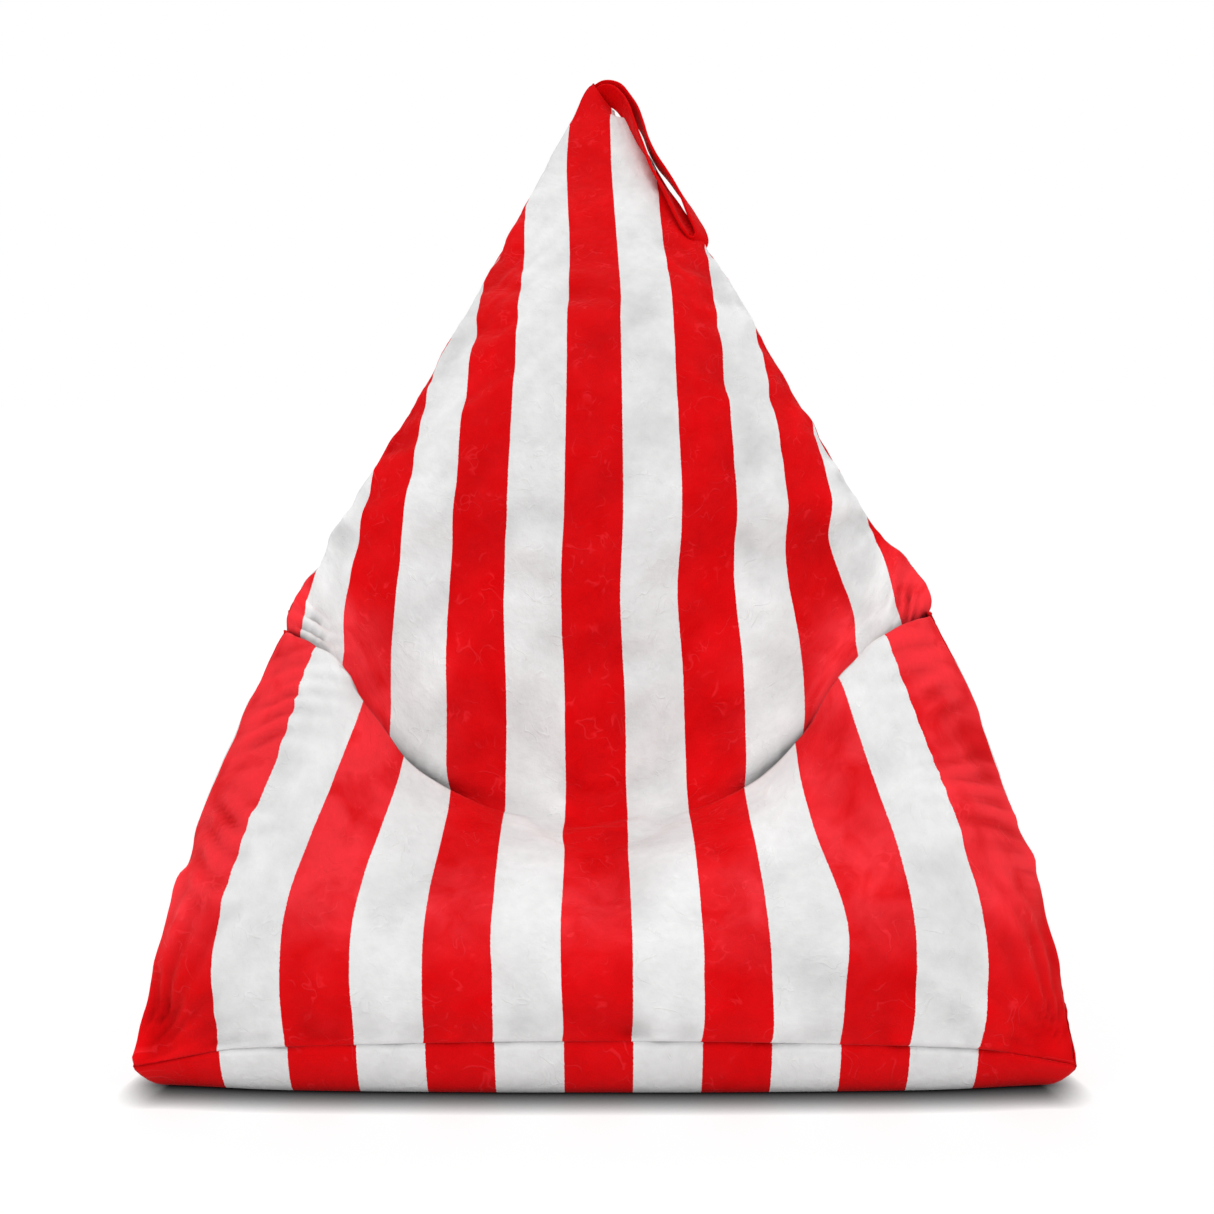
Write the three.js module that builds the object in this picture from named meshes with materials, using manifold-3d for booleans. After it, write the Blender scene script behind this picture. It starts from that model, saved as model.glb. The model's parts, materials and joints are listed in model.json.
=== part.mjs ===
// Bean bag chair: a pyramid cover of four sewn panels, with a seat pressed into its front,
// a zipped liner and bead fill inside, a zip in the back seam and a strap handle at the tip.
// Millimetres, +Z up. The chair faces -Y and stands on Z = 0, with its bounding box centred on X = Y = 0.

import * as THREE from 'three';
import { mergeVertices } from 'three/addons/utils/BufferGeometryUtils.js';
import Module from 'manifold-3d';

const wasm = await Module();
wasm.setup();

// ---- Driving sizes ----

const STRIPE = 70; // one printed stripe; the guide lines below are written in stripes
const HALF_DEPTH = 7.224; // from the foremost point to the middle of the chair, in stripes

const CLOTH = 2; // cover cloth
const LINER_DEPTH = 6.5; // from the cover's outer face to the liner
const LINER = 1;
const FILL_DEPTH = 12; // from the cover's outer face to the bead fill
const SEAM_GAP = 0.6; // left open on each side of a seam
const REAR_GAP = 0.4; // and on each side of the rear seam, above and below the zip

const ZIP_STRIP = 20; // half width of the flat strip that the zip is sewn into
const ZIP_SLOT = 5; // half width of the slot between the folded panel edges
const ZIP_LEAN = 0.06; // forward lean of the back seam, per unit of height
const ZIP_FOOT = 2.2; // height of the zip's lower end, in stripes
const ZIP_LENGTH = 450;

const STRAP_WIDTH = 32;
const STRAP = 3.5; // strap thickness
const LOOP_LENGTH = 316; // from the hinge to the far end of the loop

// ---- Guide lines, in stripes: [x, y, z] with y = 0 at the foremost point ----

const CENTRE = [
  [0, 0.04, 1.0], [0, 0.0, 1.65], [0, 0.3, 2.4], [0, 0.75, 2.9], [0, 1.55, 3.2],
  [0, 2.5, 3.3], [0, 3.3, 3.85], [0, 3.8, 5.1], [0, 4.35, 6.75], [0, 4.9, 8.4],
  [0, 5.75, 10.15], [0, 7.2, 12.0], [0, 9.65, 14.2], [0, 11.76, 16.6],
];
const HIP = [
  [2.9, 0.06, 0.98], [2.92, 0.0, 1.65], [2.95, 0.25, 2.5], [2.95, 0.6, 3.1], [2.95, 1.3, 3.55],
  [2.95, 2.3, 3.75], [2.95, 3.25, 4.25], [2.8, 3.9, 5.4], [2.6, 4.5, 7.0], [2.25, 5.15, 8.55],
  [1.85, 6.05, 10.2], [1.4, 7.5, 12.0], [0.75, 9.8, 14.25], [0.2, 11.77, 16.6],
];
const ARM = [
  [5.1, 0.1, 0.86], [5.1, 0.05, 1.6], [5.12, 0.3, 2.6], [5.12, 0.55, 3.4], [5.1, 1.0, 4.35],
  [5.0, 1.8, 5.2], [4.85, 2.9, 5.8], [4.65, 4.05, 6.25], [4.15, 4.7, 7.15], [3.55, 5.55, 8.7],
  [2.9, 6.55, 10.25], [2.2, 7.95, 12.05], [1.15, 10.0, 14.35], [0.29, 11.81, 16.6],
];
const SIDE = [
  [6.88, 0.2, 0.55], [6.86, 0.7, 1.3], [6.76, 1.25, 2.1], [6.66, 1.6, 2.65], [6.52, 2.2, 3.45],
  [6.32, 2.75, 4.25], [6.05, 3.4, 5.1], [5.7, 4.15, 6.1], [5.12, 4.95, 7.3], [4.32, 5.95, 8.8],
  [3.56, 7.05, 10.35], [2.72, 8.4, 12.1], [1.42, 10.3, 14.5], [0.34, 11.9, 16.6],
];
const REAR_HEIGHTS = [0.6, 1.3, 2.0, 2.8, 3.6, 4.5, 5.4, 6.3, 7.4, 8.8, 10.3, 12.1, 14.4, 16.6];
const REAR_FOOT = 14.45; // how far back the rear seam stands at its second height
const REAR_TUCK = 0.2; // how far its lowest point is drawn in
const REAR_ROUND = 1.45; // how far its top comes forward of the straight line
const BULGE = [0.45, 0.9, 1.2, 1.35, 1.45, 1.5, 1.5, 1.45, 1.35, 1.15, 0.95, 0.7, 0.35, 0.03];

const BASE_CENTRE = [0, 5.2];
const CONTACT = 0.9; // size of the patch on the floor, as a share of the seam outline
const HALFWAY = 0.3; // how far the outline has come in, halfway down to the floor

const STEPS_PER_SPAN = 3; // mesh steps between neighbouring guide lines across the front
const BACK_STEPS = 6;
const FINE_SPANS = [3, 4, 5, 6, 10, 11, 12]; // spans of the guide lines with an extra mesh row
const SHARPEST = 0.42; // cosine that limits how far a sharp corner moves inwards
const LINER_TOP_ROWS = 1; // mesh rows at the tip that the liner and fill don't reach

// ---- The outer surface, as rings of points from the floor up to the tip ----

const toPoint = ([x, y, z]) => new THREE.Vector3(x, y - HALF_DEPTH, z).multiplyScalar(STRIPE);
const mirrored = (point) => new THREE.Vector3(-point.x, point.y, point.z);
const curveThrough = (line) => new THREE.CatmullRomCurve3(line.map(toPoint), false, 'centripetal');

// The rear seam leans straight for the zip, then rounds over to the tip.
function rearLine() {
  const top = REAR_HEIGHTS.length - 1;
  const foot = REAR_HEIGHTS[1];
  const roundedFrom = REAR_HEIGHTS[10];
  return REAR_HEIGHTS.map((z, i) => {
    const straight = REAR_FOOT - ZIP_LEAN * (z - foot);
    const rise = Math.max(0, (z - roundedFrom) / (REAR_HEIGHTS[top] - roundedFrom));
    const tuck = i === 0 ? REAR_TUCK : 0;
    return [0, straight - REAR_ROUND * rise ** 1.4 - tuck, z];
  });
}

const GUIDES = {
  centre: curveThrough(CENTRE),
  hip: curveThrough(HIP),
  arm: curveThrough(ARM),
  side: curveThrough(SIDE),
  rear: curveThrough(rearLine()),
};
const SPANS = CENTRE.length - 1;
const bulgeCurve = new THREE.CatmullRomCurve3(BULGE.map((b) => new THREE.Vector3(b, 0, 0)));

function rowPositions() {
  const positions = [];
  for (let span = 0; span < SPANS; span += 1) {
    positions.push(span);
    if (FINE_SPANS.includes(span)) positions.push(span + 0.5);
  }
  positions.push(SPANS);
  return positions;
}

// Points across the back panel on the +X side, from the side seam to the rear seam.
function backPoints(side, rear, bulge, stripHalf) {
  const stripEdge = new THREE.Vector3(stripHalf, rear.y, rear.z);
  const outward = new THREE.Vector3(stripEdge.y - side.y, side.x - stripEdge.x, 0).normalize();
  const points = [];
  for (let i = 1; i <= BACK_STEPS; i += 1) {
    const share = i / BACK_STEPS;
    const point = side.clone().lerp(stripEdge, share);
    points.push(point.addScaledVector(outward, 4 * share * (1 - share) * bulge));
  }
  return [...points, rear.clone()];
}

// One closed ring: front panel from -X to +X, then the +X back panel, then the -X one.
function ringAt(position) {
  const t = position / SPANS;
  const centre = GUIDES.centre.getPoint(t);
  const hip = GUIDES.hip.getPoint(t);
  const arm = GUIDES.arm.getPoint(t);
  const side = GUIDES.side.getPoint(t);
  const rear = GUIDES.rear.getPoint(t);
  const across = [side, arm, hip].map(mirrored).concat([centre, hip, arm, side]);
  const front = new THREE.CatmullRomCurve3(across, false, 'centripetal');
  const points = front.getPoints(STEPS_PER_SPAN * (across.length - 1));
  const stripHalf = Math.min(ZIP_STRIP, 0.45 * side.x);
  const back = backPoints(side, rear, bulgeCurve.getPoint(t).x * STRIPE, stripHalf);
  const otherBack = back.slice(0, -1).reverse().map(mirrored);
  return [...points, ...back, ...otherBack];
}

function shrunkRing(ring, share, height) {
  const middle = toPoint([...BASE_CENTRE, 0]);
  return ring.map((point) => {
    const shrunk = middle.clone().lerp(point, share);
    shrunk.z = point.z * height;
    return shrunk;
  });
}

const sideRings = rowPositions().map(ringAt);
const seamRing = sideRings[0];
const baseRings = [
  shrunkRing(seamRing, 0.45, 0),
  shrunkRing(seamRing, CONTACT, 0),
  shrunkRing(seamRing, 1 - (1 - CONTACT) * HALFWAY, 0.3),
];
const RINGS = [...baseRings, ...sideRings];
const SEAM_ROW = baseRings.length;
const AROUND = seamRing.length;
const FRONT_STEPS = STEPS_PER_SPAN * 6;
const REAR_COLUMN = FRONT_STEPS + BACK_STEPS + 1;

function faceNormal(row, column) {
  const ring = RINGS[row];
  const next = (column + 1) % AROUND;
  const across = RINGS[row + 1][next].clone().sub(ring[column]);
  const up = RINGS[row + 1][column].clone().sub(ring[next]);
  return across.cross(up).normalize();
}

// The outward direction at a point, longer where faces meet at a sharp angle, so that
// every face keeps its distance when the surface is moved inwards.
function outwardAt(row, column) {
  if (row < 1) return new THREE.Vector3(0, 0, -1);
  const before = (column + AROUND - 1) % AROUND;
  const rows = [row - 1, row].filter((r) => r < RINGS.length - 1);
  const faces = rows.flatMap((r) => [faceNormal(r, before), faceNormal(r, column)]);
  const outward = faces.reduce((sum, face) => sum.add(face), new THREE.Vector3()).normalize();
  const sharpest = Math.min(...faces.map((face) => face.dot(outward)));
  return outward.divideScalar(Math.max(sharpest, SHARPEST));
}

const OUTWARD = RINGS.map((ring, row) => ring.map((_, column) => outwardAt(row, column)));

function deepPoint(row, column, depth) {
  const outward = OUTWARD[row][column % AROUND];
  return RINGS[row][column % AROUND].clone().addScaledVector(outward, -depth);
}

// ---- Closed meshes from grids of points ----

function meshFrom(points, triangles) {
  const geometry = new THREE.BufferGeometry();
  const flat = points.flatMap((point) => [point.x, point.y, point.z]);
  geometry.setAttribute('position', new THREE.Float32BufferAttribute(flat, 3));
  geometry.setIndex(triangles);
  return geometry;
}

// Two triangles for each square of a grid that is `columns` points wide.
function gridTriangles(rows, columns, start, flipped) {
  const triangles = [];
  for (let r = 0; r < rows - 1; r += 1) {
    for (let c = 0; c < columns - 1; c += 1) {
      const a = start + r * columns + c;
      const b = a + 1;
      const d = a + columns;
      const e = d + 1;
      if (flipped) triangles.push(a, d, b, b, d, e);
      else triangles.push(a, b, d, b, e, d);
    }
  }
  return triangles;
}

// A sheet of cloth: the same grid at two depths, joined all round its edge.
function sheetOf(outer, inner) {
  const rows = outer.length;
  const columns = outer[0].length;
  const count = rows * columns;
  const points = [...outer.flat(), ...inner.flat()];
  const triangles = gridTriangles(rows, columns, 0, false);
  triangles.push(...gridTriangles(rows, columns, count, true));
  const edge = [];
  for (let c = 0; c < columns - 1; c += 1) edge.push(c);
  for (let r = 0; r < rows - 1; r += 1) edge.push(r * columns + columns - 1);
  for (let c = columns - 1; c > 0; c -= 1) edge.push((rows - 1) * columns + c);
  for (let r = rows - 1; r > 0; r -= 1) edge.push(r * columns);
  edge.forEach((a, i) => {
    const b = edge[(i + 1) % edge.length];
    triangles.push(b, a, a + count, b, a + count, b + count);
  });
  return meshFrom(points, triangles);
}

function setBack(point, neighbour) {
  const towards = neighbour.clone().sub(point);
  const gap = Math.min(SEAM_GAP, 0.4 * towards.length());
  return point.clone().addScaledVector(towards.normalize(), gap);
}

// A panel between two seams, a little short of each seam.
function panel(firstColumn, lastColumn, rearEdge) {
  const layers = [0, CLOTH].map((depth) => {
    const rows = [];
    for (let row = SEAM_ROW; row < RINGS.length; row += 1) {
      const line = [];
      for (let c = firstColumn; c <= lastColumn; c += 1) line.push(deepPoint(row, c, depth));
      shortenEnds(line, row, rearEdge);
      rows.push(line);
    }
    rows[0] = rows[0].map((point, i) => setBack(point, rows[1][i]));
    return rows;
  });
  return sheetOf(layers[0], layers[1]);
}

// Ends of a panel's row stand back from the seams, and further where the zip's slot is.
function shortenEnds(line, row, rearEdge) {
  const last = line.length - 1;
  line[0] = setBack(line[0], line[1]);
  line[last] = setBack(line[last], line[last - 1]);
  if (!rearEdge) return;
  const rear = rearEdge === 'last' ? last : 0;
  const open = zipRow(row) ? ZIP_SLOT : REAR_GAP;
  line[rear].x = open * Math.sign(line[rearEdge === 'last' ? last - 1 : 1].x);
}

function zipRow(row) {
  const z = RINGS[row][REAR_COLUMN].z;
  return z > (ZIP_FOOT - 0.3) * STRIPE && z < ZIP_FOOT * STRIPE + ZIP_LENGTH + 0.3 * STRIPE;
}

// The whole outer surface at one depth, as a closed solid.
function balloon(depth, topRows) {
  const last = RINGS.length - topRows;
  const points = [];
  for (let row = 0; row < last; row += 1) {
    for (let c = 0; c <= AROUND; c += 1) points.push(deepPoint(row, c, depth));
  }
  const triangles = gridTriangles(last, AROUND + 1, 0, false);
  const bottom = points.length;
  points.push(toPoint([...BASE_CENTRE, depth / STRIPE]));
  const topStart = (last - 1) * (AROUND + 1);
  const top = points.length;
  const topRing = points.slice(topStart, topStart + AROUND);
  const middle = new THREE.Vector3();
  topRing.forEach((point) => middle.addScaledVector(point, 1 / AROUND));
  points.push(middle);
  for (let c = 0; c < AROUND; c += 1) {
    triangles.push(bottom, c + 1, c);
    triangles.push(top, topStart + c, topStart + c + 1);
  }
  return tidied(meshFrom(points, triangles));
}

// The base panel: a dish from the floor up to the seam round it.
function basePanel() {
  const layers = [0, CLOTH].map((depth) => {
    const rows = [];
    for (let row = 0; row <= SEAM_ROW; row += 1) {
      const line = [];
      for (let c = 0; c < AROUND; c += 1) line.push(deepPoint(row, c, depth));
      rows.push(line);
    }
    const below = rows[SEAM_ROW - 1];
    rows[SEAM_ROW] = rows[SEAM_ROW].map((point, i) => setBack(point, below[i]));
    return rows;
  });
  const points = layers.flat(2);
  const triangles = [];
  const perLayer = (SEAM_ROW + 1) * AROUND;
  const index = (layer, row, c) => layer * perLayer + row * AROUND + (c % AROUND);
  const quad = (a, b, d, e) => triangles.push(a, b, d, b, e, d);
  for (let c = 0; c < AROUND; c += 1) {
    for (let row = 0; row < SEAM_ROW; row += 1) {
      quad(index(0, row, c), index(0, row, c + 1), index(0, row + 1, c), index(0, row + 1, c + 1));
      quad(index(1, row + 1, c), index(1, row + 1, c + 1), index(1, row, c), index(1, row, c + 1));
    }
    quad(
      index(0, SEAM_ROW, c), index(0, SEAM_ROW, c + 1),
      index(1, SEAM_ROW, c), index(1, SEAM_ROW, c + 1),
    );
    triangles.push(points.length, index(0, 0, c + 1), index(0, 0, c));
    triangles.push(points.length + 1, index(1, 0, c), index(1, 0, c + 1));
  }
  points.push(toPoint([...BASE_CENTRE, 0]), toPoint([...BASE_CENTRE, CLOTH / STRIPE]));
  return meshFrom(points, triangles);
}

// ---- Joining and cutting solids ----

function tidied(geometry) {
  const bare = geometry.clone();
  bare.deleteAttribute('normal');
  bare.deleteAttribute('uv');
  return mergeVertices(bare, 1e-4);
}

function solid(geometry) {
  const bare = tidied(geometry);
  return new wasm.Manifold(new wasm.Mesh({
    numProp: 3,
    vertProperties: bare.attributes.position.array,
    triVerts: new Uint32Array(bare.index.array),
  }));
}

function geometryOf(manifold) {
  const { vertProperties, triVerts } = manifold.getMesh();
  const geometry = new THREE.BufferGeometry();
  geometry.setAttribute('position', new THREE.BufferAttribute(vertProperties, 3));
  geometry.setIndex([...triVerts]);
  return geometry;
}

const joined = (...geometries) => geometryOf(geometries.map(solid).reduce((a, b) => a.add(b)));

function block(x0, x1, y0, y1, z0, z1) {
  const geometry = new THREE.BoxGeometry(x1 - x0, y1 - y0, z1 - z0);
  return geometry.translate((x0 + x1) / 2, (y0 + y1) / 2, (z0 + z1) / 2);
}

// ---- Scene graph ----

const RED = new THREE.Color(0.72, 0.01, 0.012);
const WHITE = new THREE.Color(0.8, 0.8, 0.8);
const chair = new THREE.Group();

function add(parent, name, geometry, color, roughness = 0.85, metalness = 0) {
  const mesh = new THREE.Mesh(geometry, new THREE.MeshStandardMaterial({ color, roughness, metalness }));
  mesh.name = name;
  parent.add(mesh);
  return mesh;
}

// The rear strip's frame: x across, y outward from the cover's face, z up along the zip.
const zipFrame = new THREE.Group();
const zipFoot = toPoint([0, REAR_FOOT - ZIP_LEAN * (ZIP_FOOT - REAR_HEIGHTS[1]), ZIP_FOOT]);
zipFrame.position.copy(zipFoot);
zipFrame.rotation.x = Math.atan(ZIP_LEAN);
chair.add(zipFrame);

add(chair, 'front_panel', panel(0, FRONT_STEPS), RED);
add(chair, 'right_back_panel', panel(FRONT_STEPS, REAR_COLUMN, 'last'), RED);
add(chair, 'left_back_panel', panel(REAR_COLUMN, AROUND, 'first'), RED);
add(chair, 'base_panel', basePanel(), RED);

// ---- Zips: one in the cover, one in the liner ----

const TAPE = 0.8;
const TAPE_REACH = 16; // half width of the two tapes together
const TAPE_PAST = 8; // tape beyond each end of the chain
const CHAIN_HALF = 3;
const CHAIN = 2.2; // thickness of the teeth
const GRIPPED = 1.2; // how far the teeth overlap each tape
const STOP = 3; // length of a stop
const CLEAR = 0.3;
const SLIDER_HALF = 4.3;
const SLIDER_LENGTH = 12;
const SLIDER_REST = 12; // middle of the closed slider, above the foot of the zip
const PIN_HEIGHT = 3.6; // pull's hinge above the cover's face
const PULL_LENGTH = 24;

// Tapes, chain and stops; `face` is the outer face of the cloth that they are sewn into.
function addZip(prefix, face, cloth) {
  const tapeTop = face - cloth - 0.4;
  const chainTop = tapeTop + CLEAR + CHAIN;
  const end = ZIP_LENGTH;
  const tapeInner = CHAIN_HALF - GRIPPED;
  const tape = block(tapeInner, TAPE_REACH, tapeTop - TAPE, tapeTop, -TAPE_PAST, end + TAPE_PAST);
  add(zipFrame, `${prefix}_tape_right`, tape, RED);
  add(zipFrame, `${prefix}_tape_left`, tape.clone().rotateZ(Math.PI).translate(0, 2 * tapeTop - TAPE, 0), RED);
  const toChain = STOP + 0.5;
  const chain = block(-CHAIN_HALF, CHAIN_HALF, tapeTop + CLEAR, chainTop, toChain, end - toChain);
  add(zipFrame, `${prefix}_chain`, chain, RED, 0.5);
  const stop = block(-CHAIN_HALF, CHAIN_HALF, tapeTop + CLEAR, chainTop + 0.3, 0, STOP);
  add(zipFrame, `${prefix}_bottom_stop`, stop, WHITE, 0.4, 0.8);
  add(zipFrame, `${prefix}_top_stop`, stop.clone().translate(0, 0, end - STOP), WHITE, 0.4, 0.8);
  return chainTop;
}

// A plate over the chain with a flange down each side of it.
function sliderBody(chainTop) {
  const half = SLIDER_LENGTH / 2;
  const low = chainTop - CHAIN;
  const plate = block(-SLIDER_HALF, SLIDER_HALF, chainTop + 0.4, chainTop + 1.6, -half, half);
  const flange = block(SLIDER_HALF - 1, SLIDER_HALF, low, chainTop + 0.5, -half, half);
  const otherFlange = flange.clone().translate(1 - 2 * SLIDER_HALF, 0, 0);
  return [plate, flange, otherFlange];
}

const chainTop = addZip('zip', 0, CLOTH);
const ear = block(1.8, 2.8, chainTop + 1.5, PIN_HEIGHT + 1.4, -1.6, 1.6);
const slider = joined(...sliderBody(chainTop), ear, ear.clone().translate(-4.6, 0, 0));
add(zipFrame, 'zip_slider', slider.translate(0, 0, SLIDER_REST), WHITE, 0.35, 0.9);

// The pull's eye sits between the slider's ears, and its tab hangs down the zip.
function pullGeometry() {
  const outline = new THREE.Shape();
  outline.moveTo(-1.5, 1.2);
  outline.lineTo(-1.5, -4);
  outline.lineTo(-3.2, -8);
  outline.absarc(0, 3.2 - PULL_LENGTH, 3.2, Math.PI, 2 * Math.PI, false);
  outline.lineTo(3.2, -8);
  outline.lineTo(1.5, -4);
  outline.lineTo(1.5, 1.2);
  const hole = new THREE.Path();
  hole.absarc(0, 4.4 - PULL_LENGTH, 1.4, 0, 2 * Math.PI, true);
  outline.holes.push(hole);
  const tab = new THREE.ExtrudeGeometry(outline, { depth: 1.2, bevelEnabled: false, curveSegments: 6 });
  return tab.rotateX(Math.PI / 2).translate(0, 0.6, 0);
}
const pull = pullGeometry().translate(0, PIN_HEIGHT, SLIDER_REST);
add(zipFrame, 'zip_pull', pull, WHITE, 0.35, 0.9);

const linerChainTop = addZip('liner_zip', -LINER_DEPTH, LINER);
const linerSlider = joined(...sliderBody(linerChainTop));
add(zipFrame, 'liner_zip_slider', linerSlider.translate(0, 0, SLIDER_REST), WHITE, 0.5);

// ---- Liner and fill ----

zipFrame.updateMatrixWorld(true);
const linerSlot = block(-ZIP_SLOT, ZIP_SLOT, -FILL_DEPTH + 1, 0, -2, ZIP_LENGTH + 2);
linerSlot.applyMatrix4(zipFrame.matrixWorld);
const linerOuter = solid(balloon(LINER_DEPTH, LINER_TOP_ROWS));
const linerInner = solid(balloon(LINER_DEPTH + LINER, LINER_TOP_ROWS));
const liner = linerOuter.subtract(linerInner).subtract(solid(linerSlot));
add(chair, 'inner_liner', geometryOf(liner), WHITE);
add(chair, 'bead_fill', balloon(FILL_DEPTH, LINER_TOP_ROWS), WHITE, 1);

// ---- Carry handle ----

const HINGE = toPoint([0.12, 11.9, 16.95]);
const LOOP_END = toPoint([2.0, 9.2, 13.55]);

// x runs along the drooping loop, y is the way its strands stand apart, z is across the strap.
function loopFrame() {
  const along = LOOP_END.clone().sub(HINGE).normalize();
  const across = new THREE.Vector3(-along.y, along.x, 0).normalize();
  const apart = along.clone().cross(across);
  return { along, across, apart };
}

const LOOP_STEPS = 4;
function loopGeometry() {
  const frame = loopFrame();
  const far = LOOP_LENGTH;
  const outline = new THREE.Shape();
  outline.moveTo(5, -STRAP);
  outline.splineThru([
    new THREE.Vector2(90, -STRAP - 1), new THREE.Vector2(220, -9), new THREE.Vector2(far - 22, -12),
    new THREE.Vector2(far - 4, -7), new THREE.Vector2(far, 0), new THREE.Vector2(far - 4, 7),
    new THREE.Vector2(far - 22, 12), new THREE.Vector2(220, 9), new THREE.Vector2(90, STRAP + 1),
    new THREE.Vector2(5, STRAP),
  ]);
  const slit = new THREE.Path();
  const inner = far - STRAP;
  slit.moveTo(95, 0);
  slit.splineThru([
    new THREE.Vector2(220, 9 - STRAP), new THREE.Vector2(far - 23, 12 - STRAP),
    new THREE.Vector2(inner - 3, 5), new THREE.Vector2(inner, 0), new THREE.Vector2(inner - 3, -5),
    new THREE.Vector2(far - 23, STRAP - 12), new THREE.Vector2(220, STRAP - 9), new THREE.Vector2(95, 0),
  ]);
  outline.holes.push(slit);
  const options = { depth: STRAP_WIDTH, bevelEnabled: false, curveSegments: LOOP_STEPS };
  const geometry = new THREE.ExtrudeGeometry(outline, options).translate(0, 0, -STRAP_WIDTH / 2);
  const turn = new THREE.Matrix4().makeBasis(frame.along, frame.apart.clone().negate(), frame.across);
  turn.setPosition(HINGE);
  return geometry.applyMatrix4(turn);
}
add(chair, 'carry_handle', loopGeometry(), RED);

// Both tails of the strap, stitched together between the panels at the tip, with a folded
// neck that rises beside the loop's near end.
const TAIL_FOOT = -80; // heights from the hinge
const TAIL_TOP = -20;
const NECK_TOP = -4;
const NECK = 4; // width of the neck
const halfStrap = STRAP_WIDTH / 2;
const tails = block(-halfStrap, halfStrap, -STRAP, STRAP, TAIL_FOOT, TAIL_TOP);
const neck = block(-halfStrap, NECK - halfStrap, -STRAP, STRAP, TAIL_TOP - 1, NECK_TOP);
add(chair, 'handle_tails', joined(tails, neck).translate(0, HINGE.y, HINGE.z), RED);

export default chair;
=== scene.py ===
"""Bean bag chair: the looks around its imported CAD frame.

The cover is drawn from guide lines as one closed skin, settled by a cloth simulation, and
then cut at its seams into the four sewn panels. Metres in the row frame: the chair faces
-Y and stands on Z = 0.
"""

import json
import math

import bmesh
import bpy
import numpy as np
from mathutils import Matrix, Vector
from mathutils.bvhtree import BVHTree


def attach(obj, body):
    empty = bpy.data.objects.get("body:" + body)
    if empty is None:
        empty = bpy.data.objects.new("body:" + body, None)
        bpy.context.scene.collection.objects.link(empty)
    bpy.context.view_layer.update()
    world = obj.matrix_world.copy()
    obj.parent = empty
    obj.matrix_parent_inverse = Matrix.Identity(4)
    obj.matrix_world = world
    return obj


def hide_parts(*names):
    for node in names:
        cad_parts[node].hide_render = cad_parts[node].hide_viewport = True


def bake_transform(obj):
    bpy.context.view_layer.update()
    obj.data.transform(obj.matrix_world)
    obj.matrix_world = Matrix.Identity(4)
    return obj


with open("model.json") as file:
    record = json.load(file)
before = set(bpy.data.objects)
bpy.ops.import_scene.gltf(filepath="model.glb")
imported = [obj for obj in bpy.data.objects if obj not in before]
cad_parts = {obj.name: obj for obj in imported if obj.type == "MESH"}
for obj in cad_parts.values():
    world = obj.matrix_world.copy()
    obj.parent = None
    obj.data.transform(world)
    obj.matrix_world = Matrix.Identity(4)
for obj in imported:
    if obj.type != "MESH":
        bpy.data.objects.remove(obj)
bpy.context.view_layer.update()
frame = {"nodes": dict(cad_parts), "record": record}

# ---- Driving sizes ----

STRIPE = 0.07  # one printed stripe; the guide lines are written in stripes
HALF_DEPTH = 7.224  # from the foremost point to the middle of the chair, in stripes
GRID = 0.010  # spacing of the skin's points in the simulation
SEAM_REACH = 0.004  # from a seam to the next line of points
SEAM_SINK = 0.0022  # how deep the stitched line lies
BASE_SEAM_SINK = 0.0014
CLOTH = 0.0016  # thickness of the cover's cloth

# Height guide lines of the right half of the front panel, as [x, y, z] in stripes at the
# pattern lines 0, 1.5, 3.5, 4.5, 5.5 and the seam, with the seam's own pattern line last.
FRONT = [
    [(0, 0.04, 0.95), (1.5, 0.04, 0.94), (3.5, 0.07, 0.88), (4.5, 0.09, 0.84), (5.5, 0.12, 0.77), (6.9, 0.2, 0.47), 6.85],
    [(0, 0, 1.65), (1.5, 0, 1.65), (3.5, 0, 1.65), (4.5, 0.02, 1.65), (5.5, 0.05, 1.6), (6.88, 0.72, 1.35), 6.85],
    [(0, 0.3, 2.4), (1.5, 0.3, 2.4), (3.5, 0.3, 2.5), (4.5, 0.4, 2.6), (5.45, 0.5, 2.6), (6.78, 1.3, 2.2), 6.8],
    [(0, 0.75, 2.9), (1.5, 0.72, 2.95), (3.4, 0.75, 3.15), (4.38, 0.95, 3.4), (5.28, 1.15, 3.5), (6.62, 1.95, 3.05), 6.75],
    [(0, 1.5, 3.2), (1.5, 1.4, 3.3), (3.25, 1.4, 3.7), (4.2, 1.7, 4.2), (5.08, 1.95, 4.4), (6.38, 2.6, 4.0), 6.65],
    [(0, 2.1, 3.27), (1.5, 2.05, 3.45), (3.15, 2.15, 4.2), (4.0, 2.45, 4.95), (4.83, 2.7, 5.35), (6.02, 3.3, 5.1), 6.55],
    [(0, 2.5, 3.3), (1.5, 2.6, 3.5), (3.15, 2.85, 4.5), (3.85, 3.1, 5.41), (4.6, 3.35, 6.14), (5.45, 4.0, 6.35), 6.35],
    [(0, 2.75, 3.36), (1.5, 2.8, 3.52), (3.2, 3.02, 4.1), (3.98, 3.3, 4.76), (4.7, 3.65, 5.4), (5.5, 4.35, 5.98), 6.3],
    [(0, 3.15, 3.62), (1.5, 3.12, 3.8), (3.36, 3.08, 4.55), (4.24, 3.4, 5.4), (4.98, 3.8, 6.05), (5.6, 4.6, 6.45), 6.15],
    [(0, 3.5, 4.25), (1.5, 3.53, 4.4), (3.46, 3.7, 5.15), (4.36, 4.15, 5.95), (5.1, 4.7, 6.5), (5.56, 5.25, 6.82), 5.98],
    [(0, 3.85, 5.3), (1.5, 3.87, 5.4), (3.5, 4.25, 5.85), (4.45, 4.8, 6.4), None, (5.3, 5.9, 7.2), 5.75],
]
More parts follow.
